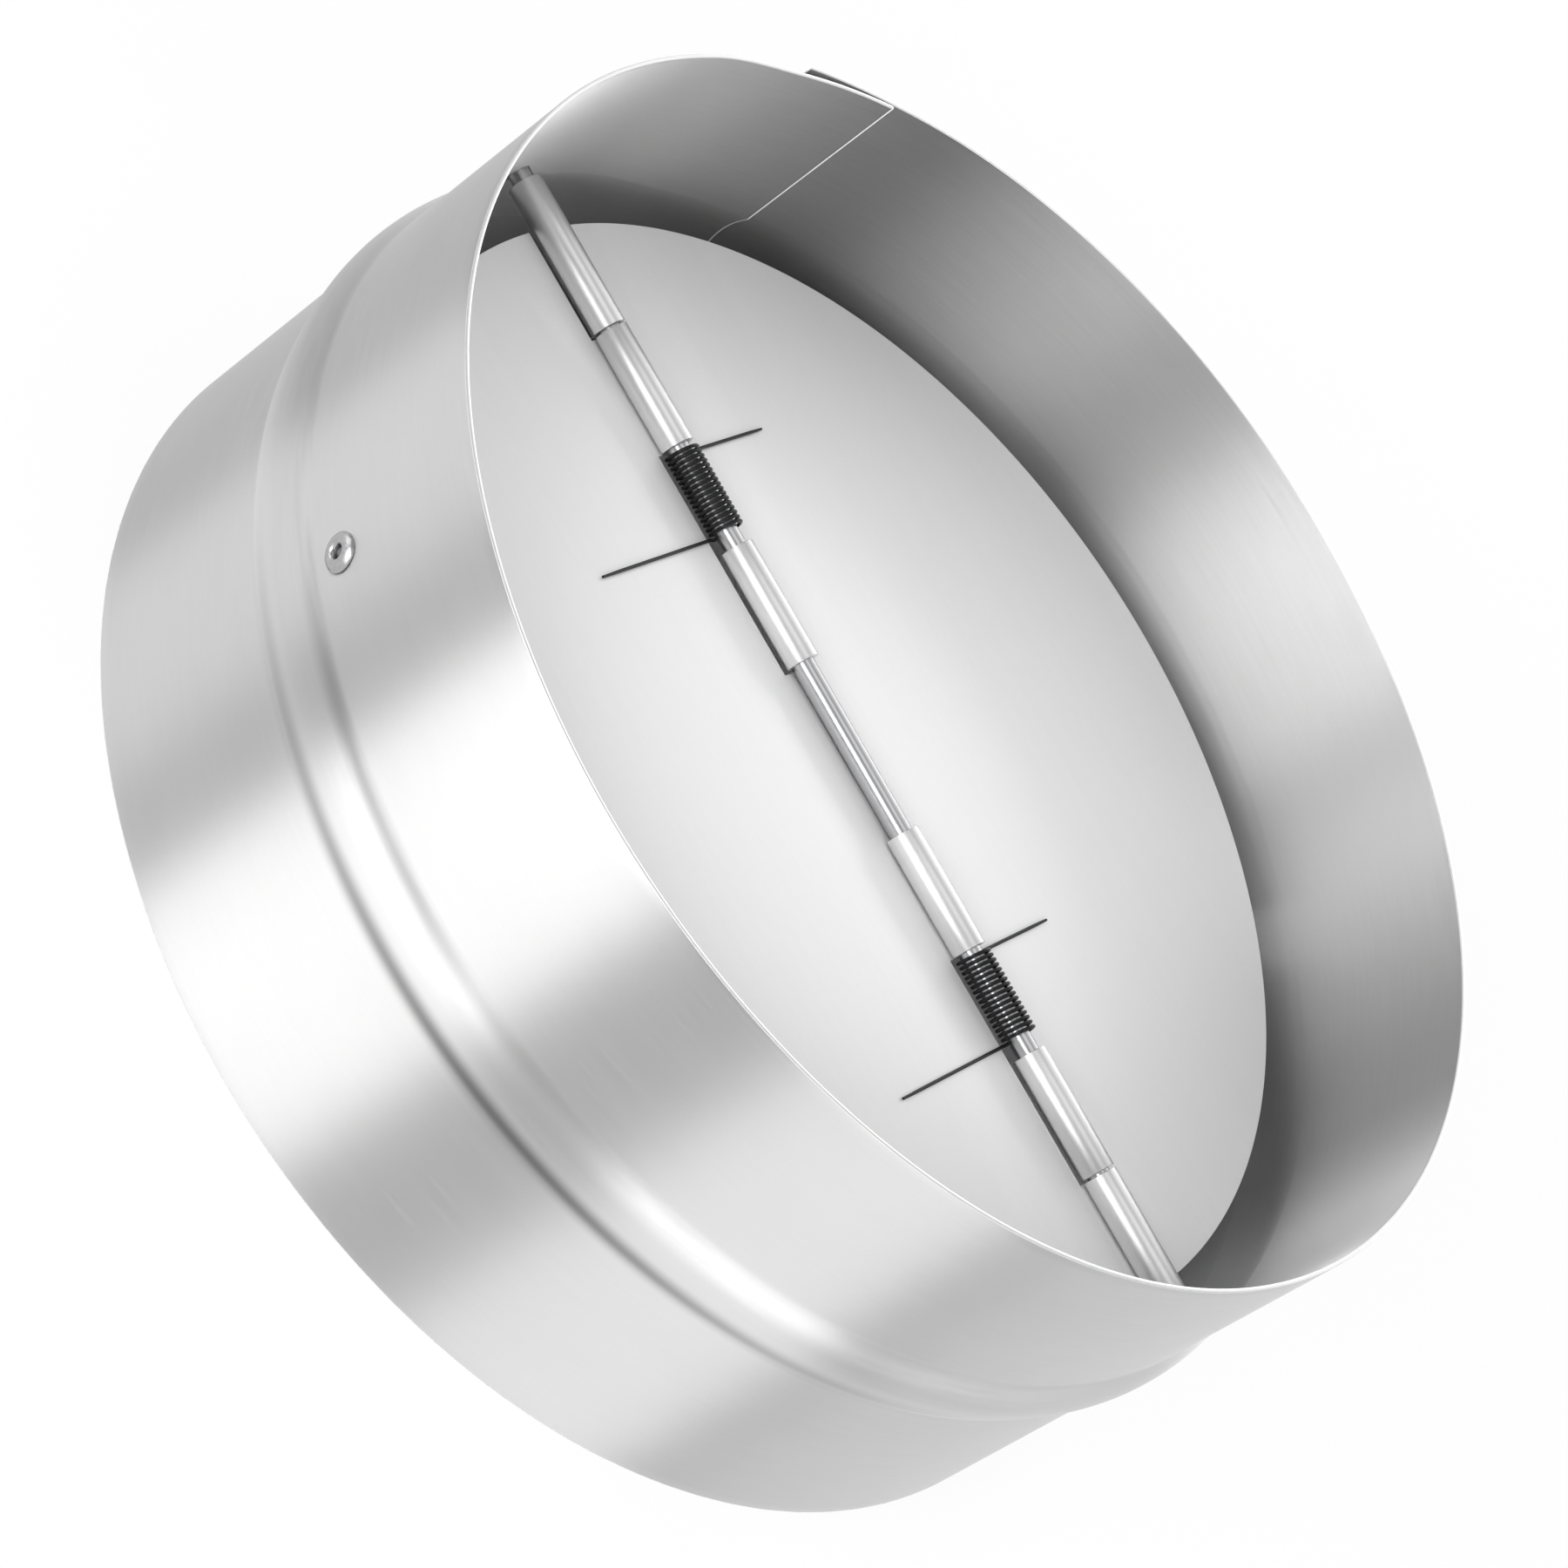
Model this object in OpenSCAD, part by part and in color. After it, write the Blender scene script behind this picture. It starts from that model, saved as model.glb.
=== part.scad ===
// Spring-closed backdraft damper for a round duct.
// Z runs along the air flow and points downstream; the upstream rim lies on z = 0.
// X runs along the hinge rod. The blades swing up, downstream, and the springs push them flat.

/* [Shell] */
// Outside diameter of the shell, over which the duct slides
shell_od = 200; // [180:1:300]
// Length of the shell along the air flow
shell_l = 80; // [74:1:160]
// Thickness of the shell's galvanised sheet
shell_t = 0.7; // [0.5:0.05:1.2]
// Angle from the hinge rod at which the inner end of the sheet lies
seam_a = 148.5; // [100:1:165]
// How far the sheet laps over itself, round the shell
lap_w = 18; // [10:0.5:24]
// Gap between the two layers of the lap
lap_gap = 0.1; // [0.05:0.05:0.4]
// Angle over which the sheet steps down into the lap
ramp_deg = 10.8; // [6:0.2:11]
// Angle between the outer end of the sheet and the start of that step
ramp_clear = 1; // [0.5:0.1:2]

/* [Bead] */
// Height of the middle of the bead above the upstream rim
bead_z = 41; // [34:0.5:41]
// Width of the bead along the shell
bead_w = 12.5; // [8:0.5:12.5]
// How far the bead stands out of the shell
bead_h = 1.75; // [1:0.05:2.5]

/* [Hinge rod] */
// Diameter of the hinge rod
rod_d = 3.6; // [3:0.1:4]
// Height of the rod's axis above the upstream rim
rod_z = 49.3; // [49.3:0.1:55]
// Clearance round the rod in its knuckles and in the shell's holes
rod_fit = 0.05; // [0.02:0.01:0.1]
// How far the rod's ends stay inside the outside of the shell
rod_flush = 0.1; // [0.05:0.05:0.4]

/* [Blades] */
// Gap between the blades' round edge and the inside of the shell
blade_gap = 8.8; // [5:0.1:12]
// Thickness of the blades' sheet
blade_t = 0.9; // [0.6:0.05:1]
// Gap between an end knuckle and the inside of the shell
knuckle_end_gap = 1.8; // [1:0.1:4]
// Bare length of rod between the two inner knuckles
middle_gap = 29.2; // [20:0.1:34]
// Length of the inner knuckles
inner_knuckle_l = 19.7; // [12:0.1:21]
// Length of the bays that hold the springs
spring_bay_l = 17.4; // [17:0.1:19]
// Length of the knuckles outside the springs
second_knuckle_l = 20; // [12:0.1:21]
// Gap along the rod between neighbouring knuckles
knuckle_gap = 0.4; // [0.3:0.05:1]
// Gap between a blade and what turns beside it
swing_gap = 0.35; // [0.3:0.05:0.6]
// Half the slot between the two blades under the rod
slot_half = 0.6; // [0.4:0.05:1]
// Slit left where a knuckle's rolled end meets its blade
curl_slit = 0.4; // [0.3:0.05:0.6]

/* [Springs] */
// Diameter of the spring wire
wire_d = 0.55; // [0.45:0.05:0.6]
// Outside diameter of the coils
coil_od = 5.6; // [5.5:0.05:5.8]
// Whole turns in each coil
coil_turns = 14; // [10:1:14]
// Distance from one turn to the next
coil_pitch = 0.98; // [0.98:0.01:1.05]
// How far the legs' push lifts the coils on the rod
coil_lift = 0.15; // [0:0.05:0.2]
// Gap between a coil and the knuckle beside it
coil_side_gap = 0.5; // [0.3:0.05:0.8]
// Reach of the leg on the rear blade from the rod
rear_leg_l = 24; // [15:0.5:35]
// Reach of the leg on the front blade from the rod
front_leg_l = 30.5; // [15:0.5:40]
// Gap between a leg and the blade that it lies on
leg_seat_gap = 0.05; // [0.03:0.01:0.3]

/* [Stop bar] */
// Angle from the rod at which the bar crosses the shell
stop_a = 59.5; // [45:1:75]
// Width of the stop bar
stop_w = 10; // [8:0.5:14]
// Thickness of the stop bar
stop_t = 1.2; // [0.8:0.1:2]
// Gap between the closed blades and the bar
stop_gap = 0.2; // [0.1:0.05:0.4]
// Gap between the bar's foot and the inside of the shell
seat_gap = 0.08; // [0.05:0.01:0.2]
// How far the foot reaches past the middle of the rivet
foot_past = 5; // [4:0.5:8]
// Slope of the bar's other end on its way down to the bead's groove
leg_slope = 45; // [40:1:60]
// Length of the flat tongue at that end
tongue_l = 3; // [2:0.5:5]
// How far the tongue's underside lies below the middle of the bead
tongue_below = 3; // [2.5:0.1:4]
// Gap between the tongue's tip and the bottom of the groove
tongue_gap = 0.1; // [0.05:0.05:0.3]

/* [Rivet] */
// Height of the rivet above the upstream rim
rivet_z = 52.5; // [52:0.5:60]
// Diameter of the rivet's body
rivet_d = 3.2; // [3:0.1:4]
// Diameter of the rivet's head
rivet_head_d = 6.2; // [5.5:0.1:7.5]
// Height of the rivet's head
rivet_head_h = 1.1; // [0.8:0.1:1.6]
// Diameter of the bulge on the blind side
bulge_d = 4.6; // [4.2:0.1:5.4]
// Length of the bulge on the blind side
bulge_l = 2.6; // [1.8:0.1:3.5]
// Diameter of the mandrel's stem
stem_d = 1.8; // [1.4:0.1:2]
// Diameter of the mandrel's head
mandrel_head_d = 3; // [2.6:0.1:3.6]
// Thickness of the mandrel's head
mandrel_head_h = 0.9; // [0.6:0.1:1.4]
// Clearance round the rivet in its hole, round the stem in the rivet, and under the bulge
rivet_fit = 0.05; // [0.02:0.01:0.1]
// How deep the broken stem lies under the top of the head
stem_depth = 0.9; // [0.5:0.1:1]

/* [Hidden] */
$fn = 96;

// Shell: the bead is an arc through its two feet and its crest
shell_r = shell_od / 2;
shell_ir = shell_r - shell_t;
bead_r = (pow(bead_w / 2, 2) + pow(bead_h, 2)) / (2 * bead_h);
bead_cx = shell_r + bead_h - bead_r;
lap_deg = lap_w / shell_r * 180 / PI;
lap_drop = shell_t + lap_gap;
ramp_a = seam_a + lap_deg + ramp_clear;
ramp_steps = 4;
ramp_weld = 0.4;
ramp_inset = 0.05;
ramp_reach = 0.15;
foot_trim = 0.05;

// Rod and knuckles, as distances from the middle of the rod
rod_r = rod_d / 2;
bore_r = rod_r + rod_fit;
knuckle_r = bore_r + blade_t;
blade_r = shell_ir - blade_gap;
inner_x0 = middle_gap / 2;
inner_x1 = inner_x0 + inner_knuckle_l;
second_x0 = inner_x1 + spring_bay_l;
second_x1 = second_x0 + second_knuckle_l;
outer_x0 = second_x1 + knuckle_gap;
outer_x1 = shell_ir - knuckle_end_gap;
face_z = -bore_r;
notch_r = max(knuckle_r, coil_od / 2 + coil_lift) + swing_gap;
notch_y = sqrt(pow(notch_r, 2) - pow(face_z, 2));

// Springs: each wire comes in along the front blade, winds under the rod and over it,
// and leaves along the rear blade
wire_r = wire_d / 2;
coil_r = coil_od / 2 - wire_r;
wire_sides = 6;
rings_per_turn = 8;
exit_a = 25;
leg_z = face_z + leg_seat_gap + wire_r;
exit_y = coil_r * sin(exit_a);
exit_z = coil_lift - coil_r * cos(exit_a);
knee_y = exit_y + (leg_z - exit_z) / tan(exit_a);
coil_sweep = 360 * coil_turns + 2 * exit_a;
coil_len = coil_pitch * coil_sweep / 360;
lead = coil_pitch / (2 * PI * coil_r);
ring_count = coil_turns * rings_per_turn + 1;
left_coil_x = -second_x0 + coil_side_gap + wire_r + coil_len;
right_coil_x = inner_x1 + coil_side_gap + wire_r + coil_len;

// Stop bar and rivet
bar_top = rod_z - knuckle_r - stop_gap;
foot_r = shell_ir - seat_gap;
grip_r = foot_r - stop_t;
tongue_top = bead_z - tongue_below + stop_t;
tongue_r = bead_cx + sqrt(pow(bead_r - shell_t, 2) - pow(tongue_below, 2)) - tongue_gap;
leg_end_r = tongue_r - tongue_l;
leg_r = leg_end_r - (bar_top - tongue_top) / tan(leg_slope);
mitre = stop_t * tan(leg_slope / 2);
blind_r = sqrt(pow(grip_r, 2) - pow(bulge_d / 2, 2)) - rivet_fit;
hole_r = rivet_d / 2 + rivet_fit;
stem_bore_r = stem_d / 2 + rivet_fit;
reach = 2 * shell_r;

module wall_section() {
    difference() {
        union() {
            translate([shell_ir, 0]) square([shell_t, shell_l]);
            intersection() {
                translate([bead_cx, bead_z]) circle(r = bead_r);
                translate([shell_ir, bead_z - bead_w]) square([bead_w, 2 * bead_w]);
            }
        }
        translate([bead_cx, bead_z]) circle(r = bead_r - shell_t);
    }
}

// What the bead adds to the wall, from just inside one foot to just inside the other
module bead_section() {
    intersection() {
        wall_section();
        translate([shell_ir, bead_z - bead_w / 2 + foot_trim]) square([bead_w, bead_w - 2 * foot_trim]);
    }
}

// Part of the rolled sheet from one angle to another, lifted off the shell's own radius
module sheet_turn(from_a, to_a, lift) {
    rotate([0, 0, from_a]) rotate_extrude(angle = to_a - from_a, $fn = 360) translate([lift, 0]) children();
}

// Plan of the ramp on which the sheet steps down under its own outer end, drawn a little thinner
function ramp_point(i, r, over) =
    let (a = ramp_a + ramp_deg * i / ramp_steps + over, low = lap_drop * (1 - i / ramp_steps))
    (r - low) * [cos(a), sin(a)];
module ramp_plan() {
    polygon(concat(
        [ramp_point(0, shell_r - ramp_inset, -ramp_weld)],
        [for (i = [1 : ramp_steps - 1]) ramp_point(i, shell_r - ramp_inset, 0)],
        [ramp_point(ramp_steps, shell_r - ramp_inset, ramp_weld),
         ramp_point(ramp_steps, shell_ir + ramp_inset, ramp_weld)],
        [for (i = [ramp_steps - 1 : -1 : 1]) ramp_point(i, shell_ir + ramp_inset, 0)],
        [ramp_point(0, shell_ir + ramp_inset, -ramp_weld)]));
}

module lap_ramp() {
    low_l = bead_z - bead_w / 2 + ramp_reach;
    high_z = bead_z + bead_w / 2 - ramp_reach;
    linear_extrude(low_l) ramp_plan();
    translate([0, 0, high_z]) linear_extrude(shell_l - high_z) ramp_plan();
    for (i = [1 : ramp_steps])
        sheet_turn(ramp_a + ramp_deg * (i - 1) / ramp_steps - ramp_weld,
                   ramp_a + ramp_deg * i / ramp_steps + ramp_weld,
                   -lap_drop * (1 - (i - 0.5) / ramp_steps)) bead_section();
}

module rivet_axis() {
    rotate([0, 0, stop_a + 180]) translate([0, 0, rivet_z]) rotate([0, 90, 0]) children();
}

// One sheet rolled into a ring, with its inner end laid under its outer end
module shell() {
    color("gainsboro") difference() {
        union() {
            sheet_turn(ramp_a + ramp_deg, seam_a + lap_deg + 360, 0) wall_section();
            sheet_turn(seam_a, ramp_a, -lap_drop) wall_section();
            lap_ramp();
        }
        translate([-reach / 2, 0, rod_z]) rotate([0, 90, 0]) cylinder(r = bore_r, h = reach);
        rivet_axis() cylinder(r = hole_r, h = reach);
    }
}

// Foot of the stop bar, bent up and curved to the shell
module foot() {
    foot_z0 = bar_top - stop_t;
    foot_l = rivet_z + foot_past - foot_z0;
    rotate([0, 0, stop_a + 180]) intersection() {
        translate([0, 0, foot_z0]) difference() {
            cylinder(r = foot_r, h = foot_l, $fn = 360);
            translate([0, 0, -1]) cylinder(r = grip_r, h = foot_l + 2, $fn = 360);
        }
        translate([0, -stop_w / 2, foot_z0]) cube([reach, stop_w, foot_l]);
    }
}

// A strip across the shell behind both blades. Its foot is riveted to the shell; its other end is
// bent down, out of the blades' way, and its tongue lies in the groove of the bead.
module stop_bar() {
    color("silver") difference() {
        union() {
            intersection() {
                cylinder(r = tongue_r, h = shell_l, $fn = 360);
                rotate([90, 0, stop_a]) translate([0, 0, -stop_w / 2]) linear_extrude(stop_w)
                    polygon([[-grip_r - stop_t / 2, bar_top - stop_t], [leg_r - mitre, bar_top - stop_t],
                             [leg_end_r - mitre, tongue_top - stop_t], [tongue_r + 1, tongue_top - stop_t],
                             [tongue_r + 1, tongue_top], [leg_end_r, tongue_top],
                             [leg_r, bar_top], [-grip_r - stop_t / 2, bar_top]]);
            }
            foot();
        }
        rivet_axis() cylinder(r = hole_r, h = reach);
    }
}

// Blind rivet: its head lies on the shell, its bulge behind the bar's foot
module rivet_body() {
    dome_r = (pow(rivet_head_d / 2, 2) + pow(rivet_head_h, 2)) / (2 * rivet_head_h);
    color("lightgray") rivet_axis() difference() {
        union() {
            translate([0, 0, shell_r]) intersection() {
                cylinder(d = rivet_head_d, h = rivet_head_h);
                translate([0, 0, rivet_head_h - dome_r]) sphere(r = dome_r);
            }
            translate([0, 0, blind_r - bulge_l])
                cylinder(d = rivet_d, h = shell_r - blind_r + bulge_l + rivet_head_h / 2);
            translate([0, 0, blind_r - bulge_l]) cylinder(d = bulge_d, h = bulge_l);
        }
        translate([0, 0, blind_r - bulge_l - 1]) cylinder(r = stem_bore_r, h = reach);
    }
}

// What stays of the mandrel after the stem has snapped inside the rivet
module rivet_mandrel() {
    stem_top = shell_r + rivet_head_h - stem_depth;
    color("dimgray") rivet_axis() {
        translate([0, 0, blind_r - bulge_l]) cylinder(d = stem_d, h = stem_top - blind_r + bulge_l);
        translate([0, 0, blind_r - bulge_l - mandrel_head_h])
            cylinder(d = mandrel_head_d, h = mandrel_head_h);
    }
}

module hinge_rod() {
    rod_l = 2 * (shell_r - rod_flush);
    color("silver") translate([-rod_l / 2, 0, rod_z]) rotate([0, 90, 0]) cylinder(r = rod_r, h = rod_l);
}

// Cut in the blade beside the rod, from x0 to x1
module notch(x0, x1) {
    translate([x0 - knuckle_gap, -1]) square([x1 - x0 + 2 * knuckle_gap, notch_y + 1]);
}

module knuckle(x0, x1) {
    translate([x0, 0, 0]) rotate([0, 90, 0]) cylinder(r = knuckle_r, h = x1 - x0);
    translate([x0, 0, -knuckle_r]) cube([x1 - x0, notch_y, blade_t]);
}

module knuckle_bore(x0, x1) {
    translate([x0 - 1, 0, 0]) rotate([0, 90, 0]) cylinder(r = bore_r, h = x1 - x0 + 2);
    translate([x0 - 1, 0, face_z]) cube([x1 - x0 + 2, knuckle_r + 1, curl_slit]);
}

// Half disc with three rolled knuckles; the other blade is the same stamping turned about
module blade() {
    translate([0, 0, rod_z]) difference() {
        union() {
            translate([0, 0, -knuckle_r]) linear_extrude(blade_t) difference() {
                intersection() {
                    circle(r = blade_r, $fn = 360);
                    translate([-blade_r, slot_half]) square([2 * blade_r, blade_r]);
                }
                notch(outer_x0, outer_x1);
                notch(inner_x0, inner_x1);
                notch(-second_x1, -second_x0);
                notch(-second_x0, -inner_x1);
                notch(inner_x1, second_x0);
            }
            knuckle(-outer_x1, -outer_x0);
            knuckle(-inner_x1, -inner_x0);
            knuckle(second_x0, second_x1);
        }
        knuckle_bore(-outer_x1, -outer_x0);
        knuckle_bore(-inner_x1, -inner_x0);
        knuckle_bore(second_x0, second_x1);
    }
}

module rear_blade() {
    color("whitesmoke") blade();
}

module front_blade() {
    color("whitesmoke") rotate([0, 0, 180]) blade();
}

// Wire path relative to the rod's axis: [point, direction that the section is turned by]
function wire_out(a) = [0, cos(a), sin(a)];
function coil_point(i) =
    let (s = coil_sweep * i / (ring_count - 1), a = s - 90 - exit_a)
    [[-coil_pitch * s / 360, coil_r * cos(a), coil_lift + coil_r * sin(a)], wire_out(a)];
function leg_point(y, z, side) =
    [[side > 0 ? -coil_len - lead * (y - exit_y) : lead * (-y - exit_y), y, z], wire_out(-90 + side * exit_a)];
wire_path = concat(
    [leg_point(-front_leg_l, leg_z, -1), leg_point(-knee_y, leg_z, -1)],
    [for (i = [0 : ring_count - 1]) coil_point(i)],
    [leg_point(knee_y, leg_z, 1), leg_point(rear_leg_l, leg_z, 1)]);
wire_n = len(wire_path);

function unit(v) = v / norm(v);
function heading(i) = unit(wire_path[min(i + 1, wire_n - 1)][0] - wire_path[max(i - 1, 0)][0]);
function ring(i) =
    let (p = wire_path[i][0], t = heading(i), out = wire_path[i][1],
         u = unit(out - (out * t) * t), w = cross(t, u))
    [for (k = [0 : wire_sides - 1])
        p + wire_r * (cos(360 * k / wire_sides) * u + sin(360 * k / wire_sides) * w)];

wire_points = [for (i = [0 : wire_n - 1]) each ring(i)];
wire_faces = concat(
    [[for (k = [0 : wire_sides - 1]) k]],
    [for (i = [0 : wire_n - 2], k = [0 : wire_sides - 1])
        let (a = i * wire_sides + k, b = i * wire_sides + (k + 1) % wire_sides)
        each [[a, a + wire_sides, b], [b, a + wire_sides, b + wire_sides]]],
    [[for (k = [wire_sides - 1 : -1 : 0]) (wire_n - 1) * wire_sides + k]]);

// Least distance from wire to wire, over all rings that are half a turn or more apart
wire_gap = min([for (i = [0 : wire_n - 1], j = [i + rings_per_turn / 2 : wire_n - 1])
    norm(wire_path[i][0] - wire_path[j][0])]) - wire_d;
echo(spring_gap_to_itself = wire_gap);

module torsion_spring(x) {
    color([0.12, 0.12, 0.13]) translate([x, 0, rod_z]) polyhedron(points = wire_points, faces = wire_faces);
}

module left_spring() {
    torsion_spring(left_coil_x);
}

module right_spring() {
    torsion_spring(right_coil_x);
}

shell();
stop_bar();
rivet_body();
rivet_mandrel();
hinge_rod();
front_blade();
rear_blade();
left_spring();
right_spring();
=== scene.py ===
import math

import bmesh
import bpy
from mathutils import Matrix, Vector


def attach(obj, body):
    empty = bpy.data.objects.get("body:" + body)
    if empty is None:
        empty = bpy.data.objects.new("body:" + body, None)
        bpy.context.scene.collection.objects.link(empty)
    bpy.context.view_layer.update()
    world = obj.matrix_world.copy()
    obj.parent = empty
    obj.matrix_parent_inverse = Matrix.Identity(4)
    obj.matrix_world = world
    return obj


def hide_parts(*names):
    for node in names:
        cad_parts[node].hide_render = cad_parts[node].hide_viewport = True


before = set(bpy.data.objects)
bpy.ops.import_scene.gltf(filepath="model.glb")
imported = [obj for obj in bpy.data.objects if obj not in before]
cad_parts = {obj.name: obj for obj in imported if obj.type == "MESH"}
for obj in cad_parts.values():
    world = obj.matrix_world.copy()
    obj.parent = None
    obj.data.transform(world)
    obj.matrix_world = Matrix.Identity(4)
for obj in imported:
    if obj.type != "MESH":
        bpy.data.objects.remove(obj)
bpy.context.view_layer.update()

# Camera: the photograph looks down into the open end from the front, turned on its own axis, so
# that the damper seems to lean over to the left. The lens is long, as for a product on a table.
camera_data = bpy.data.cameras.new("camera")
camera_data.lens = 123.088
camera_data.sensor_width = 36.0
camera = bpy.data.objects.new("camera", camera_data)
camera.location = (0.071913, -0.646009, 0.493894)
camera.rotation_euler = [math.radians(angle) for angle in (38.2133, -42.8281, 47.2706)]
bpy.context.scene.collection.objects.link(camera)
bpy.context.scene.camera = camera
bpy.context.scene.view_settings.view_transform = "Standard"


# Studio: a pale paper floor that curves up into a low wall all round, and soft boxes that stand
# about the damper. Their reflections make the light and dark bands on the rolled sheet, and painted
# shade and highlights add more inside it and along its bead.
PAPER_TONE, GLOW_SHARE = 0.93, 0.85
COVERED_R, FLOOR_R, WALL_R, WALL_H = 0.1, 2.2, 3.0, 0.9
FLOOR_SIDES, BEND_STEPS = 96, 10
LOW_SKY, HIGH_SKY, HIGH_SKY_TONE = 0.05, 0.30, 0.35
BOX_AIM = Vector((0, 0, 0.04))


def new_material(name):
    material = bpy.data.materials.new(name)
    material.use_nodes = True
    nodes = material.node_tree.nodes
    return material, nodes, material.node_tree.links, nodes["Principled BSDF"]


def smooth(mesh, sharp_angle):
    mesh.polygons.foreach_set("use_smooth", [True] * len(mesh.polygons))
    mesh.set_sharp_from_angle(angle=math.radians(sharp_angle))


def add_mesh(name, points, faces, sharp_angle=None):
    mesh = bpy.data.meshes.new(name)
    mesh.from_pydata([tuple(p) for p in points], [], faces)
    skin = bmesh.new()
    skin.from_mesh(mesh)
    bmesh.ops.recalc_face_normals(skin, faces=skin.faces)
    skin.to_mesh(mesh)
    skin.free()
    if sharp_angle is not None:
        smooth(mesh, sharp_angle)
    piece = bpy.data.objects.new(name, mesh)
    bpy.context.scene.collection.objects.link(piece)
    return piece


def plain_paper(name):
    material, nodes, links, paper = new_material(name)
    paper.inputs["Base Color"].default_value = (PAPER_TONE, PAPER_TONE, PAPER_TONE, 1)
    paper.inputs["Roughness"].default_value = 1.0
    paper.inputs["Specular IOR Level"].default_value = 0.0
    return material, nodes, links, paper


def bright_paper():
    """Paper that is white to the camera and in reflections, and that still takes a shadow."""
    material, nodes, links, paper = plain_paper("studio_paper")
    glow = nodes.new("ShaderNodeEmission")
    glow.inputs["Color"].default_value = (1, 1, 1, 1)
    glow.inputs["Strength"].default_value = 1.0
    path = nodes.new("ShaderNodeLightPath")
    seen = path.outputs["Is Camera Ray"]
    for ray in ("Is Glossy Ray", "Is Transmission Ray"):
        either = nodes.new("ShaderNodeMath")
        either.operation = "MAXIMUM"
        links.new(seen, either.inputs[0])
        links.new(path.outputs[ray], either.inputs[1])
        seen = either.outputs[0]
    share = nodes.new("ShaderNodeMath")
    share.operation = "MULTIPLY"
    share.inputs[1].default_value = GLOW_SHARE
    mix = nodes.new("ShaderNodeMixShader")
    links.new(seen, share.inputs[0])
    links.new(share.outputs[0], mix.inputs["Fac"])
    links.new(paper.outputs[0], mix.inputs[1])
    links.new(glow.outputs[0], mix.inputs[2])
    links.new(mix.outputs[0], nodes["Material Output"].inputs["Surface"])
    return material


def make_floor():
    """Rings of faces from the middle outwards; the innermost one lies under the damper."""
    profile = [(COVERED_R, 0.0), (FLOOR_R, 0.0)]
    for i in range(1, BEND_STEPS + 1):
        bend = math.pi / 2 * i / BEND_STEPS
        profile.append((FLOOR_R + (WALL_R - FLOOR_R) * math.sin(bend), WALL_H * (1 - math.cos(bend))))
    points = [(0, 0, 0)]
    for r, z in profile:
        for k in range(FLOOR_SIDES):
            turn = 2 * math.pi * k / FLOOR_SIDES
            points.append((r * math.cos(turn), r * math.sin(turn), z))
    following = [(k, (k + 1) % FLOOR_SIDES) for k in range(FLOOR_SIDES)]
    faces = [(0, 1 + k, 1 + after) for k, after in following]
    for i in range(len(profile) - 1):
        a, b = 1 + i * FLOOR_SIDES, 1 + (i + 1) * FLOOR_SIDES
        faces += [(a + k, b + k, b + after, a + after) for k, after in following]
    floor = add_mesh("studio_floor", points, faces, 40)
    floor.data.materials.append(bright_paper())
    floor.data.materials.append(plain_paper("covered_paper")[0])
    for face in floor.data.polygons[:FLOOR_SIDES]:
        face.material_index = 1
    return floor


make_floor()

world = bpy.data.worlds.new("studio_air")
world.use_nodes = True
bpy.context.scene.world = world
sky_nodes, sky_links = world.node_tree.nodes, world.node_tree.links
sky_way = sky_nodes.new("ShaderNodeTexCoord")
sky_split = sky_nodes.new("ShaderNodeSeparateXYZ")
sky_ramp = sky_nodes.new("ShaderNodeValToRGB")
low_stop, high_stop = sky_ramp.color_ramp.elements
low_stop.position = LOW_SKY
low_stop.color = (1, 1, 1, 1)
high_stop.position = HIGH_SKY
high_stop.color = (HIGH_SKY_TONE, HIGH_SKY_TONE, HIGH_SKY_TONE, 1)
sky_links.new(sky_way.outputs["Generated"], sky_split.inputs[0])
sky_links.new(sky_split.outputs["Z"], sky_ramp.inputs[0])
sky_links.new(sky_ramp.outputs["Color"], sky_nodes["Background"].inputs["Color"])
sky_nodes["Background"].inputs["Strength"].default_value = 1.0


def soft_box(name, azimuth, elevation, distance, width, height, radiance):
    lamp = bpy.data.lights.new(name, "AREA")
    lamp.shape = "RECTANGLE"
    lamp.size = width
    lamp.size_y = height
    lamp.energy = radiance * width * height * math.pi
    box = bpy.data.objects.new(name, lamp)
    a, e = math.radians(azimuth), math.radians(elevation)
    way = Vector((math.cos(a) * math.cos(e), math.sin(a) * math.cos(e), math.sin(e)))
    box.location = way * distance + BOX_AIM
    box.rotation_euler = way.to_track_quat("Z", "Y").to_euler()
    bpy.context.scene.collection.objects.link(box)


soft_box("front_box", 258, 20, 1.3, 1.05, 0.8, 5.0)
soft_box("right_box", 330, 20, 1.3, 0.95, 0.8, 2.9)
soft_box("far_box", 24, 20, 1.3, 1.0, 0.8, 0.7)
soft_box("left_box", 200, 20, 1.3, 0.8, 0.8, 1.6)
soft_box("rear_box", 90, 14, 1.4, 1.5, 0.8, 2.5)
soft_box("high_box", 95, 45, 1.5, 1.5, 1.1, 0.75)
soft_box("top_box", 276, 82, 1.3, 1.2, 0.6, 1.0)


# Shell: one galvanised sheet rolled into a ring with its ends lapped, the inner end stepped in,
# and a bead rolled all round. Its cut edges are bare and a little rounded, and the lap's sheared end
# is painted near white as a highlight. The bead's feet and upper side and the inside carry painted
# shade and highlights. Sizes from here on are in millimetres and degrees, and MM turns them into
# metres.
MM = 0.001
SHELL_R, SHELL_L, SHEET_T = 100.0, 80.0, 0.7
SEAM_A, LAP_A, RAMP_A0, RAMP_A1 = 148.5, 158.81, 159.81, 170.61
STEP_IN, STEP_EASE = 0.95, 0.15
SPRING_OUT, SPRING_CURVE = 0.95, 1.2
BEAD_Z, BEAD_HALF, BEAD_H, BEAD_CURVE = 41.0, 6.25, 1.7, 1.15
EDGE_SOFT, END_SOFT, END_PINCH = 0.16, 0.12, 0.35
SHELL_STEPS = 740
SHARP_FOLD = 35
ROD_Z, ROD_R, ROD_HOLE_GAP = 49.3, 1.8, 0.08
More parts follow.
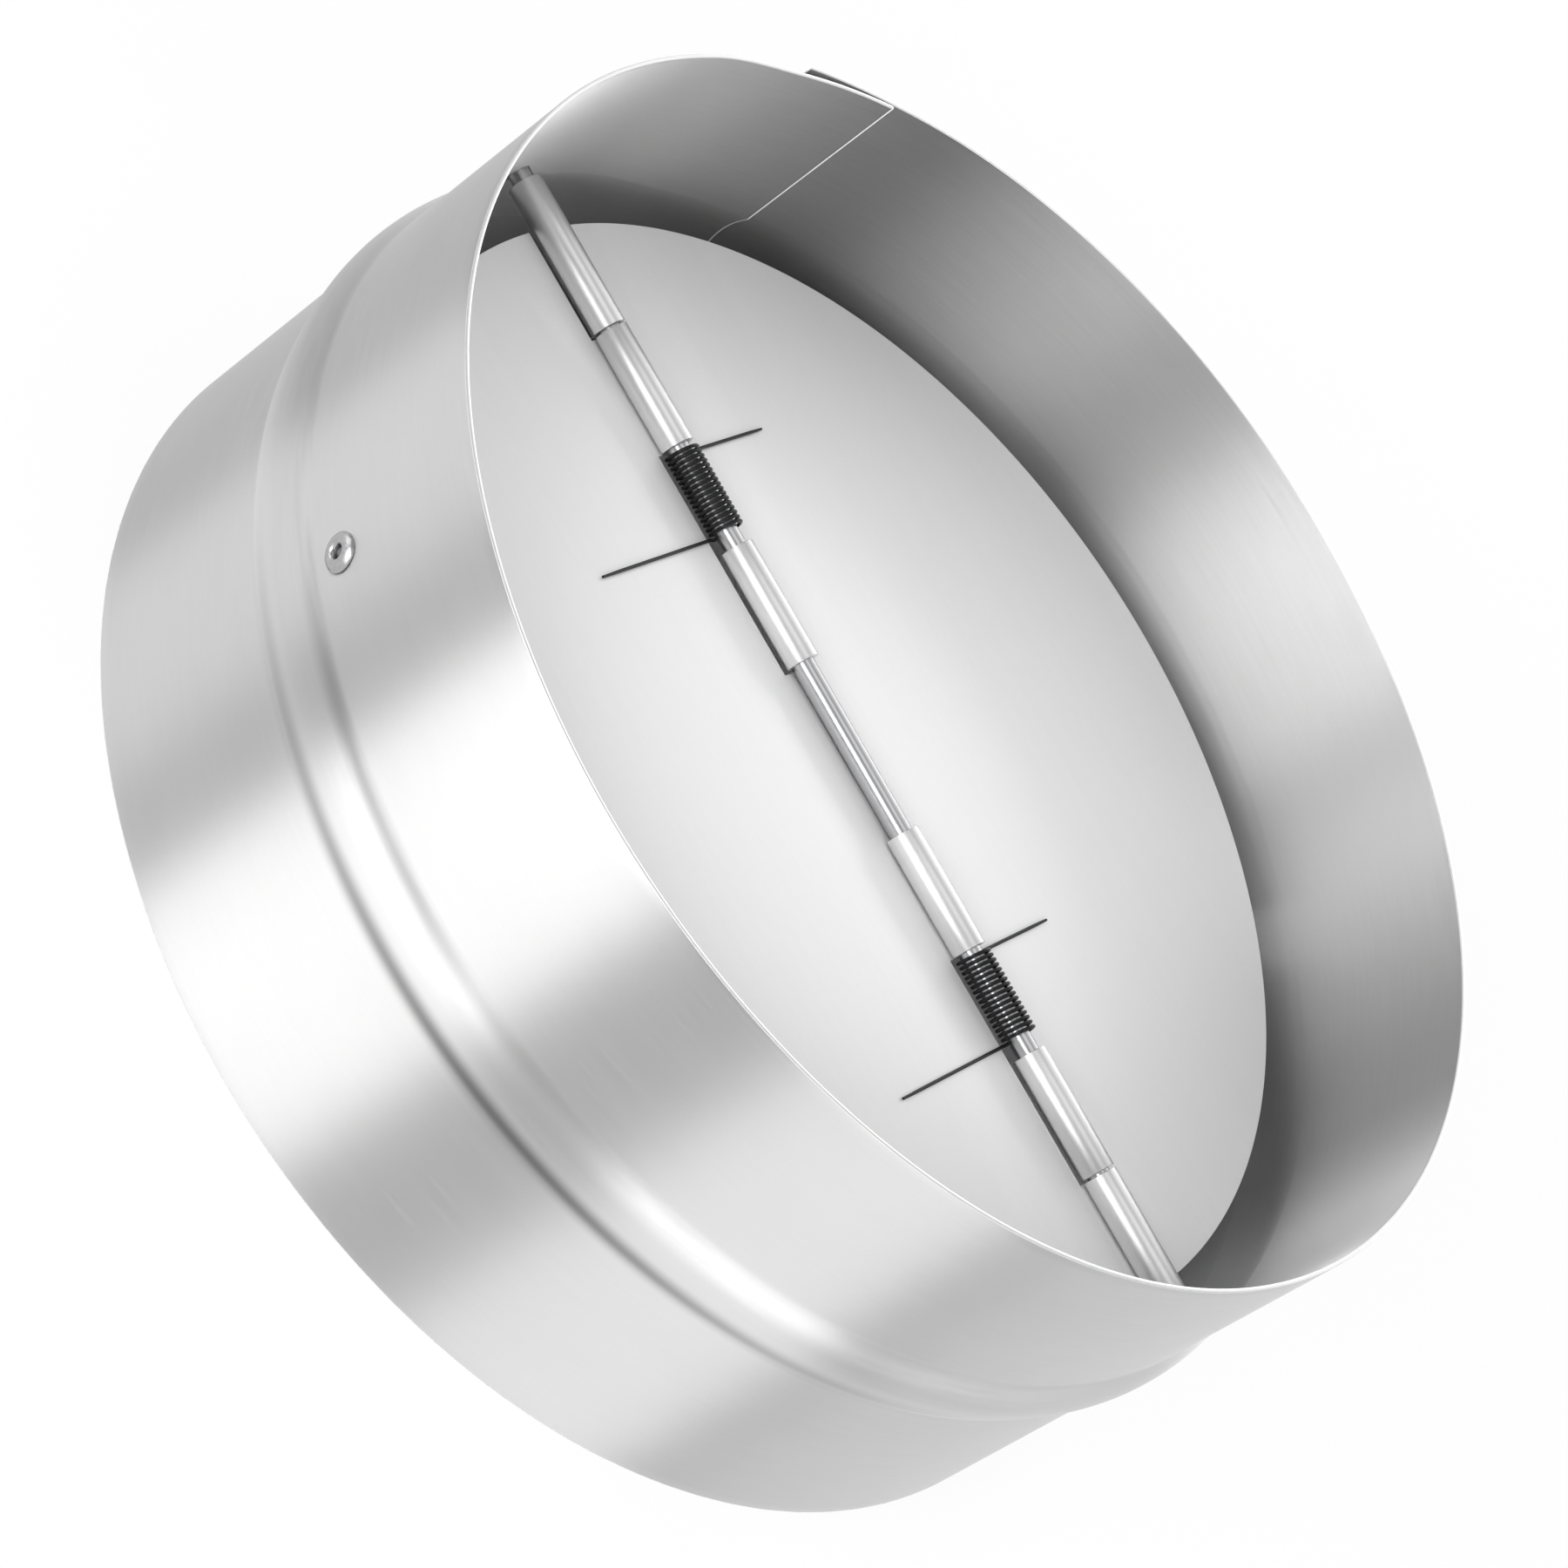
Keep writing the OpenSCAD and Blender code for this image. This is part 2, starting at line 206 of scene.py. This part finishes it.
RIVET_A, RIVET_Z, RIVET_HOLE_R = 239.5, 52.5, 1.7
SHEET_DARK, SHEET_LIGHT = 0.60, 0.66
# The sheared ends of the lap take a material that paints a highlight on them.
OUTSIDE, INSIDE, RIM, SHEARED_HIGHLIGHT = 0, 1, 2, 3


def bead_rise(z):
    t = (z - BEAD_Z) / BEAD_HALF
    return BEAD_H * (1 - t * t) ** BEAD_CURVE if abs(t) < 1 else 0.0


def smooth_step(t):
    t = min(max(t, 0.0), 1.0)
    return t * t * (3 - 2 * t)


def shell_lift(angle):
    """How far the sheet's middle lies off the ring, from the inner end to the outer end."""
    inner = -STEP_IN + STEP_EASE * smooth_step((RAMP_A0 - angle) / (RAMP_A0 - SEAM_A))
    step = inner * (1 - smooth_step((angle - RAMP_A0) / (RAMP_A1 - RAMP_A0)))
    past_seam = max(0.0, (angle - 360 - SEAM_A + 1) / (LAP_A - SEAM_A + 1))
    return step + SPRING_OUT * past_seam ** SPRING_CURVE


def shell_profile():
    """The sheet's section, once round: (offset from its middle, height)."""
    half, soft, near = SHEET_T / 2, EDGE_SOFT, 0.3 * EDGE_SOFT
    plain = [2.0, 8.0, 16.0, 24.0, 31.0]
    beaded = [34.0 + 0.4 * i for i in range(36)]
    above = [50.5, 56.0, 62.0, 68.0, 74.0, 78.0]
    up = [(half, z) for z in [soft] + plain + beaded + above + [SHELL_L - soft]]
    top = [(half - near, SHELL_L - near), (half - soft, SHELL_L),
           (soft - half, SHELL_L), (near - half, SHELL_L - near)]
    down = [(-x, z) for x, z in reversed(up)]
    foot = [(near - half, near), (soft - half, 0.0), (half - soft, 0.0), (half - near, near)]
    return up + top + down + foot


def calc(nodes, links, operation, first, second=None):
    """A math node on one value, or on a value and a fixed number."""
    node = nodes.new("ShaderNodeMath")
    node.operation = operation
    links.new(first, node.inputs[0])
    if second is not None:
        node.inputs[1].default_value = second
    return node.outputs[0]


def both(nodes, links, operation, first, second):
    """A math node on two values."""
    node = nodes.new("ShaderNodeMath")
    node.operation = operation
    links.new(first, node.inputs[0])
    links.new(second, node.inputs[1])
    return node.outputs[0]


def ring_place(nodes, links):
    """The angle round the ring and the height, for every point of the sheet."""
    place = nodes.new("ShaderNodeTexCoord")
    split = nodes.new("ShaderNodeSeparateXYZ")
    links.new(place.outputs["Object"], split.inputs[0])
    turn = both(nodes, links, "ARCTAN2", split.outputs["Y"], split.outputs["X"])
    return turn, split.outputs["Z"]


def rolled_grain(nodes, links, along, across):
    """Noise drawn out round the ring, as the mill's rollers leave it."""
    turn, height = ring_place(nodes, links)
    join = nodes.new("ShaderNodeCombineXYZ")
    links.new(calc(nodes, links, "MULTIPLY", turn, SHELL_R * MM * along), join.inputs["X"])
    links.new(calc(nodes, links, "MULTIPLY", height, across), join.inputs["Y"])
    noise = nodes.new("ShaderNodeTexNoise")
    noise.inputs["Scale"].default_value = 1.0
    noise.inputs["Detail"].default_value = 5.0
    noise.inputs["Roughness"].default_value = 0.6
    links.new(join.outputs[0], noise.inputs["Vector"])
    return noise.outputs["Fac"]


def ranged(nodes, links, value, low, high):
    """Noise, which stays between 0.3 and 0.7, spread from low to high."""
    fit = nodes.new("ShaderNodeMapRange")
    fit.inputs["From Min"].default_value = 0.3
    fit.inputs["From Max"].default_value = 0.7
    fit.inputs["To Min"].default_value = low
    fit.inputs["To Max"].default_value = high
    links.new(value, fit.inputs["Value"])
    return fit.outputs["Result"]


def fall_off(nodes, links, value, centre, reach):
    """1 at the centre, and softly down to 0 at the reach on both sides."""
    fit = nodes.new("ShaderNodeMapRange")
    fit.interpolation_type = "SMOOTHSTEP"
    fit.inputs["From Min"].default_value = 0.0
    fit.inputs["From Max"].default_value = reach
    fit.inputs["To Min"].default_value = 1.0
    fit.inputs["To Max"].default_value = 0.0
    off = calc(nodes, links, "SUBTRACT", value, centre)
    links.new(calc(nodes, links, "ABSOLUTE", off), fit.inputs["Value"])
    return fit.outputs["Result"]


def tinted(nodes, links, value, dark, light):
    """From the dark colour at 0 to the light one at 1."""
    mix = nodes.new("ShaderNodeMix")
    mix.data_type = "RGBA"
    mix.inputs["A"].default_value = dark + (1,)
    mix.inputs["B"].default_value = light + (1,)
    links.new(value, mix.inputs["Factor"])
    return mix.outputs["Result"]


def shaded(nodes, links, colour, share, grey):
    """Paint light or shade: take the colour towards another grey where share is near 1."""
    mix = nodes.new("ShaderNodeMix")
    mix.data_type = "RGBA"
    links.new(share, mix.inputs["Factor"])
    links.new(colour, mix.inputs["A"])
    mix.inputs["B"].default_value = (grey, grey, grey, 1)
    return mix.outputs["Result"]


def bumped(nodes, links, shader, value, depth):
    bump = nodes.new("ShaderNodeBump")
    bump.inputs["Strength"].default_value = 0.6
    bump.inputs["Distance"].default_value = depth
    links.new(value, bump.inputs["Height"])
    links.new(bump.outputs[0], shader.inputs["Normal"])


def rolled_steel(name, smoothest, roughest, drawn):
    """Galvanised sheet with the mill's fine grain round the ring."""
    material, nodes, links, steel = new_material(name)
    cloud = rolled_grain(nodes, links, 14, 22)
    grain = rolled_grain(nodes, links, 60, 1400)
    colour = tinted(nodes, links, cloud, (SHEET_DARK,) * 3, (SHEET_LIGHT,) * 3)
    links.new(ranged(nodes, links, grain, smoothest, roughest), steel.inputs["Roughness"])
    steel.inputs["Metallic"].default_value = 1.0
    steel.inputs["Anisotropic"].default_value = drawn
    steel.inputs["Anisotropic Rotation"].default_value = 0.25
    tangent = nodes.new("ShaderNodeTangent")
    tangent.direction_type = "RADIAL"
    tangent.axis = "Z"
    links.new(tangent.outputs[0], steel.inputs["Tangent"])
    bumped(nodes, links, steel, grain, 0.000012)
    return material, nodes, links, steel, colour


def outside_steel():
    """Painted shade as dark lines at the bead's feet, and a painted highlight on a stretch of its
    upper side, each over a range of angles round the ring.
    """
    material, nodes, links, steel, colour = rolled_steel("galvanised_outside", 0.42, 0.48, 1.0)
    turn, height = ring_place(nodes, links)
    low_foot_shade, high_foot_shade, upper_side_highlight = (-4.3, 3.2), (5.15, 1.9), (4.3, 3.1)
    # Each entry gives the height above the bead's middle and half width, the middle angle and reach
    # round the ring, and the grey. The feet get painted shade and the upper side a painted highlight.
    for (above, half), middle, reach, grey in ((low_foot_shade, -76, 66, 0.22), (high_foot_shade, -98, 32, 0.36),
                                               (upper_side_highlight, -49, 44, 0.80)):
        line = fall_off(nodes, links, height, (BEAD_Z + above) * MM, half * MM)
        stretch = fall_off(nodes, links, turn, math.radians(middle), math.radians(reach))
        share = both(nodes, links, "MULTIPLY", line, stretch)
        colour = shaded(nodes, links, colour, share, grey)
    links.new(colour, steel.inputs["Base Color"])
    return material


def inside_steel():
    """The inside is duller, with painted shade in a band towards the lap and painted highlights in two
    bands.
    """
    material, nodes, links, steel, colour = rolled_steel("galvanised_inside", 0.52, 0.60, 0.95)
    turn = ring_place(nodes, links)[0]
    # Painted shade round 140 degrees, and painted highlights round 64 and 18 degrees.
    for middle, reach, grey in ((140, 36, 0.29), (64, 18, 0.86), (18, 14, 0.94)):
        painted_band = fall_off(nodes, links, turn, math.radians(middle), math.radians(reach))
        colour = shaded(nodes, links, colour, painted_band, grey)
    links.new(colour, steel.inputs["Base Color"])
    return material


def cut_edge(name, dark, light, metallic):
    """Where the shears went through, the sheet is bare. Given near-white tones and no metal, as for
    the lap's sheared end, it is a painted highlight.
    """
    material, nodes, links, steel = new_material(name)
    grain = rolled_grain(nodes, links, 900, 900)
    links.new(tinted(nodes, links, grain, (dark,) * 3, (light,) * 3), steel.inputs["Base Color"])
    links.new(ranged(nodes, links, grain, 0.35, 0.5), steel.inputs["Roughness"])
    steel.inputs["Metallic"].default_value = metallic
    bumped(nodes, links, steel, grain, 0.00001)
    return material


def make_shell():
    """The section swept along the lapped ring, with a finish for each side of the sheet."""
    profile = shell_profile()
    mid_r, soft_end = SHELL_R - SHEET_T / 2, math.degrees(END_SOFT / SHELL_R)
    first, last = SEAM_A, LAP_A + 360
    angles = [first, first + soft_end, first + 3 * soft_end]
    angles += [first + (last - first) * i / SHELL_STEPS for i in range(1, SHELL_STEPS)]
    angles += [last - 3 * soft_end, last - soft_end, last]
    points = []
    for i, angle in enumerate(angles):
        pinch = END_PINCH if i in (0, len(angles) - 1) else 0.0
        a, lift = math.radians(angle), shell_lift(angle)
        for x, z in profile:
            r = mid_r + lift + x * (1 - pinch) + bead_rise(z)
            points.append((r * math.cos(a) * MM, r * math.sin(a) * MM, z * MM))
    n, side = len(profile), (len(profile) - 8) // 2
    faces, finish = [], []
    for i in range(len(angles) - 1):
        a, b = i * n, (i + 1) * n
        cut_end = i < 2 or i > len(angles) - 4
        for k in range(n):
            faces.append((a + k, b + k, b + (k + 1) % n, a + (k + 1) % n))
            if cut_end:
                finish.append(SHEARED_HIGHLIGHT)
            elif k < side - 1:
                finish.append(OUTSIDE)
            elif side + 4 <= k < 2 * side + 3:
                finish.append(INSIDE)
            else:
                finish.append(RIM)
    faces.append(tuple(range(n)))
    faces.append(tuple(reversed(range((len(angles) - 1) * n, len(angles) * n))))
    piece = add_mesh("rolled_shell", points, faces, SHARP_FOLD)
    # The lap's sheared end is painted near white without metal: a painted highlight along its cut
    # edge.
    for material in (outside_steel(), inside_steel(), cut_edge("rim_edge", 0.58, 0.7, 0.8),
                     cut_edge("sheared_end_highlight", 0.88, 0.97, 0.0)):
        piece.data.materials.append(material)
    piece.data.polygons.foreach_set("material_index", finish + [SHEARED_HIGHLIGHT, SHEARED_HIGHLIGHT])
    return piece


def round_bar(name, x0, x1, radius, sides=48):
    """A closed bar along X at the origin, to cut holes with."""
    points = []
    for x in (x0, x1):
        for k in range(sides):
            turn = 2 * math.pi * k / sides
            points.append((x * MM, radius * math.cos(turn) * MM, radius * math.sin(turn) * MM))
    faces = [(k, (k + 1) % sides, sides + (k + 1) % sides, sides + k) for k in range(sides)]
    faces += [tuple(reversed(range(sides))), tuple(range(sides, 2 * sides))]
    return add_mesh(name, points, faces)


def applied(piece):
    """The piece's mesh with its modifiers made real."""
    bpy.context.view_layer.update()
    mesh = bpy.data.meshes.new_from_object(piece.evaluated_get(bpy.context.evaluated_depsgraph_get()))
    piece.modifiers.clear()
    old, piece.data = piece.data, mesh
    bpy.data.meshes.remove(old)
    return mesh


def drill(piece, bars):
    for bar in bars:
        cut = piece.modifiers.new("hole", "BOOLEAN")
        cut.operation = "DIFFERENCE"
        cut.solver = "EXACT"
        cut.object = bar
    smooth(applied(piece), SHARP_FOLD)
    for bar in bars:
        bpy.data.objects.remove(bar)


shell = make_shell()
rod_hole = round_bar("rod_hole", -120, 120, ROD_R + ROD_HOLE_GAP)
rod_hole.location = (0, 0, ROD_Z * MM)
rivet_hole = round_bar("rivet_hole", 90, 110, RIVET_HOLE_R)
rivet_hole.location = (0, 0, RIVET_Z * MM)
rivet_hole.rotation_euler = (0, 0, math.radians(RIVET_A))
drill(shell, [rod_hole, rivet_hole])
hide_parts("shell")
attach(shell, "housing")


# Stop bar: a strip of the same galvanised steel behind both blades, one foot riveted to the shell
# and the other end bent down into the groove of the bead. The blades shut against it. Its CAD
# solid has the right shape, so it stays, with its edges softened.
BAR_EDGE, SOFT_ANGLE = 0.15, 50


def grained_metal(name, scale, detail, dark, light, rough, metallic=1.0, depth=0.00001, turned=0):
    """Metal whose tone, gloss and surface follow one noise, with as many grains to the metre
    along X, Y and Z as scale says. Rough is its range of roughness, or one number."""
    material, nodes, links, metal = new_material(name)
    place = nodes.new("ShaderNodeTexCoord")
    stretch = nodes.new("ShaderNodeMapping")
    stretch.inputs["Rotation"].default_value = (0, 0, math.radians(turned))
    stretch.inputs["Scale"].default_value = scale
    noise = nodes.new("ShaderNodeTexNoise")
    noise.inputs["Scale"].default_value = 1.0
    noise.inputs["Detail"].default_value = detail
    links.new(place.outputs["Object"], stretch.inputs[0])
    links.new(stretch.outputs[0], noise.inputs["Vector"])
    grain = noise.outputs["Fac"]
    links.new(tinted(nodes, links, grain, dark, light), metal.inputs["Base Color"])
    if isinstance(rough, tuple):
        links.new(ranged(nodes, links, grain, *rough), metal.inputs["Roughness"])
    else:
        metal.inputs["Roughness"].default_value = rough
    metal.inputs["Metallic"].default_value = metallic
    bumped(nodes, links, metal, grain, depth)
    return material


def soften(piece, width, limit):
    bevel = piece.modifiers.new("soft_edges", "BEVEL")
    bevel.width = width * MM
    bevel.segments = 2
    bevel.limit_method = "ANGLE"
    bevel.angle_limit = math.radians(limit)


stop_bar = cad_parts["stop_bar"]
stop_bar.data.materials.clear()
stop_bar.data.materials.append(grained_metal(
    "galvanised_strip", (30, 900, 900), 4.0, (0.55,) * 3, (0.64,) * 3, (0.36, 0.48), turned=-RIVET_A))
soften(stop_bar, BAR_EDGE, SOFT_ANGLE)


# Blind rivet: an aluminium body with a domed flange on the shell and a bulge behind the stop
# bar's foot, and in it the snapped steel mandrel, which shows as a dark pip in the hole.
BULGE_END = 95.3
RIVET_SIDES, MANDREL_SIDES = 64, 40


def lathe(name, profile, sides, place, hollow=False):
    """Turn (distance along the axis, radius) points into a closed solid; place maps each point."""
    points, faces = [], []
    for along, radius in profile:
        points += [place(along, radius * math.cos(2 * math.pi * k / sides),
                         radius * math.sin(2 * math.pi * k / sides)) for k in range(sides)]
    n = len(profile)
    for i in range(n if hollow else n - 1):
        a, b = i * sides, (i + 1) % n * sides
        faces += [(a + k, a + (k + 1) % sides, b + (k + 1) % sides, b + k) for k in range(sides)]
    if not hollow:
        faces += [tuple(range(sides)), tuple(range((n - 1) * sides, n * sides))]
    return add_mesh(name, points, faces, SHARP_FOLD)


def on_rivet_axis(along, side, up):
    a = math.radians(RIVET_A)
    return ((along * math.cos(a) - side * math.sin(a)) * MM,
            (along * math.sin(a) + side * math.cos(a)) * MM, (RIVET_Z + up) * MM)


flange = [(0.0, 1.6), (0.0, 2.7), (0.12, 2.92), (0.32, 2.95), (0.56, 2.8), (0.82, 2.45), (1.0, 2.05),
          (1.08, 1.7), (1.04, 1.4), (0.86, 1.15), (0.62, 1.02), (0.4, 0.95)]
bulge = [(0.0, 0.95), (-0.05, 1.6), (0.15, 2.1), (0.8, 2.3), (2.0, 2.28), (2.5, 1.95), (2.62, 1.6)]
rivet_profile = [(SHELL_R + x, r) for x, r in flange] + [(BULGE_END + x, r) for x, r in bulge]
rivet = lathe("rivet_flange", rivet_profile, RIVET_SIDES, on_rivet_axis, hollow=True)
rivet.data.materials.append(grained_metal(
    "rivet_aluminium", (1800,) * 3, 3.0, (0.34, 0.34, 0.35), (0.50, 0.50, 0.50), (0.26, 0.36)))
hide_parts("rivet_body")
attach(rivet, "housing")

pip = [(0.3, 0.01), (0.34, 0.35), (0.2, 0.72), (0.0, 0.88), (-0.3, 0.9)]
ball = [(0.0, 0.9), (-0.02, 1.35), (-0.3, 1.5), (-0.7, 1.35), (-0.9, 0.8), (-0.92, 0.01)]
mandrel_profile = [(SHELL_R + x, r) for x, r in pip] + [(BULGE_END + x, r) for x, r in ball]
mandrel = lathe("rivet_pip", mandrel_profile, MANDREL_SIDES, on_rivet_axis)
mandrel.data.materials.append(grained_metal(
    "mandrel_steel", (2600,) * 3, 4.0, (0.12, 0.12, 0.125), (0.3, 0.3, 0.31), 0.5, depth=0.00006))
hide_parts("rivet_mandrel")
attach(mandrel, "housing")


# Hinge rod: a drawn steel rod, zinc plated, laid straight through both walls of the shell.
# Its ends are chamfered and end just inside the outside of the sheet.
ROD_END, ROD_SIDES = 99.9, 64


def on_rod_axis(along, side, up):
    return (along * MM, side * MM, (ROD_Z + up) * MM)


rod_end = [(ROD_END, 0.01), (ROD_END, 1.4), (ROD_END - 0.1, 1.55), (ROD_END - 0.35, ROD_R),
           (60.0, ROD_R)]
rod_profile = [(-x, r) for x, r in rod_end] + [(0.0, ROD_R)] + rod_end[::-1]
rod = lathe("drawn_hinge_rod", rod_profile, ROD_SIDES, on_rod_axis)
rod.data.materials.append(grained_metal(
    "drawn_rod", (25, 2200, 2200), 4.0, (0.42, 0.42, 0.43), (0.66, 0.66, 0.67), (0.26, 0.36)))
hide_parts("hinge_rod")
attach(rod, "housing")


# Blades: two like half discs of satin aluminium sheet. Three tabs of each are rolled up and
# over the rod into knuckles, between cut-outs for the other blade's knuckles and the springs.
BLADE_R, BLADE_T, BORE_R, SLOT_HALF, NOTCH_Y = 90.5, 0.9, 1.85, 0.6, 2.733
INNER, SECOND, OUTER = (14.6, 34.3), (51.7, 71.7), (72.1, 97.5)
KNUCKLE_GAP = 0.4
CURL_START, CURL_END, CURL_STEP = -90, -395, 7.625
ROUND_STEPS = 180
BLADE_EDGE, SHARP_CURL = 0.13, 30
TAB_CORNERS = (1, 5, 11)
BLADE_GRAIN, GRAIN_DEPTH = (20, 1100, 1100), 0.000008


def blade_plan():
    """The flat half disc. A knuckle's tab starts at each of its TAB_CORNERS and ends at the next."""
    plan = [(-OUTER[1], NOTCH_Y), (-OUTER[1], 0), (-OUTER[0], 0), (-OUTER[0], NOTCH_Y),
            (-INNER[1], NOTCH_Y), (-INNER[1], 0), (-INNER[0], 0), (-INNER[0], SLOT_HALF),
            (INNER[0] - KNUCKLE_GAP, SLOT_HALF), (INNER[0] - KNUCKLE_GAP, NOTCH_Y),
            (SECOND[0], NOTCH_Y), (SECOND[0], 0), (SECOND[1], 0), (SECOND[1], NOTCH_Y),
            (math.sqrt(BLADE_R ** 2 - NOTCH_Y ** 2), NOTCH_Y)]
    start = math.degrees(math.asin(NOTCH_Y / BLADE_R))
    for i in range(1, ROUND_STEPS + 1):
        a = math.radians(start + (180 - 2 * start) * i / ROUND_STEPS)
        plan.append((BLADE_R * math.cos(a), BLADE_R * math.sin(a)))
    return plan


def make_blade(name, turn):
    """The sheet's middle surface, thickened and softened; turn is -1 for the blade in front."""
    mid_r = BORE_R + BLADE_T / 2
    points = [(x, y, -mid_r) for x, y in blade_plan()]
    faces = [tuple(range(len(points)))]
    curls = round((CURL_START - CURL_END) / CURL_STEP)
    for corner in TAB_CORNERS:
        low, high = corner, corner + 1
        for i in range(1, curls + 1):
            a = math.radians(CURL_START + (CURL_END - CURL_START) * i / curls)
            y, z = mid_r * math.cos(a), mid_r * math.sin(a)
            n = len(points)
            points += [(points[corner][0], y, z), (points[corner + 1][0], y, z)]
            faces.append((high, low, n, n + 1))
            low, high = n, n + 1
    placed = [(x * turn * MM, y * turn * MM, (ROD_Z + z) * MM) for x, y, z in points]
    piece = add_mesh(name, placed, faces)
    sheet = piece.modifiers.new("sheet", "SOLIDIFY")
    sheet.thickness = BLADE_T * MM
    sheet.offset = 0.0
    sheet.use_even_offset = True
    soften(piece, BLADE_EDGE, SOFT_ANGLE)
    mesh = applied(piece)
    smooth(mesh, SHARP_CURL)
    flat_top = (ROD_Z - BORE_R + 0.02) * MM
    rolled = [1 if max(mesh.vertices[v].co.z for v in face.vertices) > flat_top else 0
              for face in mesh.polygons]
    mesh.polygons.foreach_set("material_index", rolled)
    return piece


blade_finish = grained_metal("satin_sheet", BLADE_GRAIN, 4.0, (0.87,) * 3, (0.91,) * 3,
                             (0.52, 0.60), metallic=0.3, depth=GRAIN_DEPTH)
rolled_finish = grained_metal("rolled_knuckle", BLADE_GRAIN, 4.0, (0.70,) * 3, (0.82,) * 3,
                              (0.36, 0.44), depth=GRAIN_DEPTH)
for flap_name, flap_turn, blade in (("rear_flap", 1, "rear_blade"), ("front_flap", -1, "front_blade")):
    flap = make_blade(flap_name, flap_turn)
    flap.data.materials.append(blade_finish)
    flap.data.materials.append(rolled_finish)
    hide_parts(blade)
    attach(flap, blade)


# Torsion springs: black spring wire wound round the rod beside the second knuckles, with one
# leg on each blade. The coil stays on the rod; each leg turns with the blade it pushes on.
WIRE_R, COIL_OD, COIL_TURNS, COIL_LEN, COIL_LIFT = 0.275, 5.6, 17, 13.856, 0.15
EXIT_A, REAR_LEG, FRONT_LEG, SEAT_GAP, KNEE_SOFT = 25.0, 24.0, 30.5, 0.05, 0.35
LEFT_COIL_X, RIGHT_COIL_X = -37.069, 48.931
TURN_STEPS, KNEE_STEPS, STRAIGHT_STEPS, QUARTER_STEPS = 28, 8, 6, 14
WIRE_SIDES, WIRE_TIP, LEG_SHARE = 12, 0.75, 0.99

COIL_R = COIL_OD / 2 - WIRE_R
COIL_SWEEP = 360 * COIL_TURNS + 2 * EXIT_A
LEG_Z = -BORE_R + SEAT_GAP + WIRE_R
EXIT_Y = COIL_R * math.sin(math.radians(EXIT_A))
EXIT_Z = COIL_LIFT - COIL_R * math.cos(math.radians(EXIT_A))
KNEE_Y = EXIT_Y + (LEG_Z - EXIT_Z) / math.tan(math.radians(EXIT_A))


def wire_tube(name, path, radius):
    """A round tube along the path, carried on without twist, with its tips a little thinner."""
    points, rings = [Vector(p) for p in path], []
    up = Vector((1, 0, 0))
    for i, p in enumerate(points):
        ahead = (points[min(i + 1, len(points) - 1)] - points[max(i - 1, 0)]).normalized()
        up = (up - ahead * up.dot(ahead)).normalized()
        rings.append((p, up, ahead.cross(up)))
    ring_points = []
    for i, (p, u, w) in enumerate(rings):
        r = radius * (WIRE_TIP if i in (0, len(rings) - 1) else 1.0)
        for k in range(WIRE_SIDES):
            a = 2 * math.pi * k / WIRE_SIDES
            ring_points.append((p + (u * math.cos(a) + w * math.sin(a)) * r) * MM)
    following = [(k, (k + 1) % WIRE_SIDES) for k in range(WIRE_SIDES)]
    faces = []
    for i in range(len(rings) - 1):
        a, b = i * WIRE_SIDES, (i + 1) * WIRE_SIDES
        faces += [(a + k, a + after, b + after, b + k) for k, after in following]
    last = (len(rings) - 1) * WIRE_SIDES
    faces += [tuple(reversed(range(WIRE_SIDES))), tuple(range(last, last + WIRE_SIDES))]
    return add_mesh(name, ring_points, faces, 40)


def coil_place(coil_x, sweep):
    a = math.radians(sweep - 90 - EXIT_A)
    return (coil_x - COIL_LEN * sweep / COIL_SWEEP, COIL_R * math.cos(a),
            ROD_Z + COIL_LIFT + COIL_R * math.sin(a))


def bent_leg(coil_x, sweeps, side, length):
    """From inside the coil's end turn, out over a soft knee, and along the blade to the tip."""
    path = [coil_place(coil_x, sweep) for sweep in sweeps]
    x = path[-1][0]
    for i in range(1, KNEE_STEPS + 1):
        t = i / KNEE_STEPS
        y, z = EXIT_Y * (1 - t) + KNEE_Y * t, EXIT_Z * (1 - t) + LEG_Z * t
        path.append((x, side * (y + KNEE_SOFT * t * t), ROD_Z + min(z, LEG_Z)))
    for i in range(1, STRAIGHT_STEPS + 1):
        y = KNEE_Y + KNEE_SOFT + (length - KNEE_Y - KNEE_SOFT) * i / STRAIGHT_STEPS
        path.append((x, side * y, ROD_Z + LEG_Z))
    return path


black_wire = grained_metal("spring_wire", (900,) * 3, 3.0, (0.008, 0.008, 0.009),
                           (0.024, 0.024, 0.026), (0.28, 0.42), metallic=0.6)
coil_steps = COIL_TURNS * TURN_STEPS
coil_sweeps = [COIL_SWEEP * i / coil_steps for i in range(coil_steps + 1)]
rear_sweeps = [COIL_SWEEP - 90 + 90 * i / QUARTER_STEPS for i in range(QUARTER_STEPS + 1)]
front_sweeps = [90 - 90 * i / QUARTER_STEPS for i in range(QUARTER_STEPS + 1)]
for spring, spring_x in (("left_spring", LEFT_COIL_X), ("right_spring", RIGHT_COIL_X)):
    coil = wire_tube(spring + "_coil", [coil_place(spring_x, sweep) for sweep in coil_sweeps], WIRE_R)
    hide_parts(spring)
    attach(coil, "housing")
    rear_leg = wire_tube(spring + "_rear_leg",
                         bent_leg(spring_x, rear_sweeps, 1, REAR_LEG), WIRE_R * LEG_SHARE)
    front_leg = wire_tube(spring + "_front_leg",
                          bent_leg(spring_x, front_sweeps, -1, FRONT_LEG), WIRE_R * LEG_SHARE)
    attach(rear_leg, "rear_blade")
    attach(front_leg, "front_blade")
    for piece in (coil, rear_leg, front_leg):
        piece.data.materials.append(black_wire)
